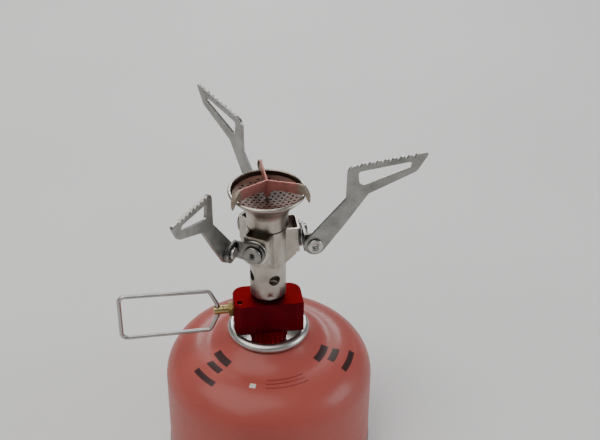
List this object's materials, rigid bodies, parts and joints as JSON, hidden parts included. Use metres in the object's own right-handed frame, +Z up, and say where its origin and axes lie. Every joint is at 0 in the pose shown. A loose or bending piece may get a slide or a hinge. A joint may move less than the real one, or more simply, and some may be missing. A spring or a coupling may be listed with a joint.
{
  "type": "camping stove",
  "caption": "Screw-on camping stove: red valve block with folding wire handle, steel burner with wind clip and folding toothed pot supports, standing on a small gas canister.",
  "frame": {"origin": "centre of the canister's base, on the ground", "axes": "+Z up along the burner's axis, +X along the right-hand pot support; the valve spindle and its handle point to -X"},
  "size_m": [0.1251, 0.1079, 0.1499],
  "materials": {
    "canister_paint": "satin red paint",
    "bare_steel": "plain bright steel",
    "satin_steel": "satin stainless steel",
    "dark_steel": "darkened steel",
    "heated_steel": "heat-tinted stainless steel",
    "red_anodised": "glossy red anodising",
    "brass": "turned",
    "bronze": "sintered",
    "black_rubber": "matt",
    "nylon": "moulded"
  },
  "bodies": {
    "canister": {"canister_shell": "canister_paint", "canister_base": "bare_steel", "valve_cup": "bare_steel", "valve_housing": "nylon", "valve_gasket": "black_rubber", "valve_spring": "bare_steel"},
    "valve_pin": {"valve_pin": "brass"},
    "seal": {"seal_ring": "black_rubber"},
    "stove": {"thread_collar": "red_anodised", "valve_probe": "brass", "valve_body": "red_anodised", "retaining_pin": "dark_steel", "inlet_filter": "bronze", "jet": "brass", "mixing_tube": "satin_steel", "support_bracket": "satin_steel", "burner_head": "satin_steel", "burner_screen": "heated_steel", "wind_clip": "heated_steel", "gland_nut": "brass", "bracket_rivet_right": "dark_steel", "spring_washer_right": "bare_steel", "bracket_rivet_left": "dark_steel", "spring_washer_left": "bare_steel", "bracket_rivet_rear": "dark_steel", "spring_washer_rear": "bare_steel"},
    "spindle": {"spindle": "brass", "spindle_seal": "black_rubber"},
    "handle": {"handle_wire": "bare_steel"},
    "link_right": {"swivel_link_right": "dark_steel", "fold_rivet_right": "bare_steel", "fold_washer_right": "bare_steel"},
    "support_right": {"pot_support_right": "satin_steel"},
    "link_left": {"swivel_link_left": "dark_steel", "fold_rivet_left": "bare_steel", "fold_washer_left": "bare_steel"},
    "support_left": {"pot_support_left": "satin_steel"},
    "link_rear": {"swivel_link_rear": "dark_steel", "fold_rivet_rear": "bare_steel", "fold_washer_rear": "bare_steel"},
    "support_rear": {"pot_support_rear": "satin_steel"}
  },
  "joints": [
    {"name": "valve_pin_press", "type": "slide", "parent": "canister", "child": "valve_pin", "axis": [0, 0, 1], "range_m": [-0.0012, 0], "stiffness_N_per_m": 500, "springref_m": 0.002, "deforming": ["valve_spring"]},
    {"name": "stove_lift", "type": "slide", "parent": "canister", "child": "seal", "axis": [0, 0, 1], "range_m": [0, 0.04]},
    {"name": "stove_turn", "type": "hinge", "parent": "seal", "child": "stove", "pos_m": [0, 0, 0.0632], "axis": [0, 0, 1], "range_deg": [0, 2520]},
    {"name": "valve_turn", "type": "hinge", "parent": "stove", "child": "spindle", "pos_m": [0, 0, 0.0733], "axis": [-1, 0, 0], "range_deg": [-360, 720]},
    {"name": "handle_swing", "type": "hinge", "parent": "spindle", "child": "handle", "pos_m": [-0.0216, 0, 0.0733], "axis": [0, 0, 1], "range_deg": [-90, 90]},
    {"name": "support_swing_right", "type": "hinge", "parent": "stove", "child": "link_right", "pos_m": [0, 0, 0.1094], "axis": [-1, 0, 0], "range_deg": [0, 180]},
    {"name": "support_fold_right", "type": "hinge", "parent": "link_right", "child": "support_right", "pos_m": [0.0178, -0.01025, 0.1102], "axis": [0, -1, 0], "range_deg": [0, 28]},
    {"name": "support_swing_left", "type": "hinge", "parent": "stove", "child": "link_left", "pos_m": [0, 0, 0.1094], "axis": [0.5, 0.866, 0], "range_deg": [0, 180]},
    {"name": "support_fold_left", "type": "hinge", "parent": "link_left", "child": "support_left", "pos_m": [-0.01778, -0.01029, 0.1102], "axis": [-0.866, 0.5, 0], "range_deg": [0, 28]},
    {"name": "support_swing_rear", "type": "hinge", "parent": "stove", "child": "link_rear", "pos_m": [0, 0, 0.1094], "axis": [0.5, -0.866, 0], "range_deg": [0, 180]},
    {"name": "support_fold_rear", "type": "hinge", "parent": "link_rear", "child": "support_rear", "pos_m": [-0.00002, 0.02054, 0.1102], "axis": [0.866, 0.5, 0], "range_deg": [0, 28]}
  ]
}
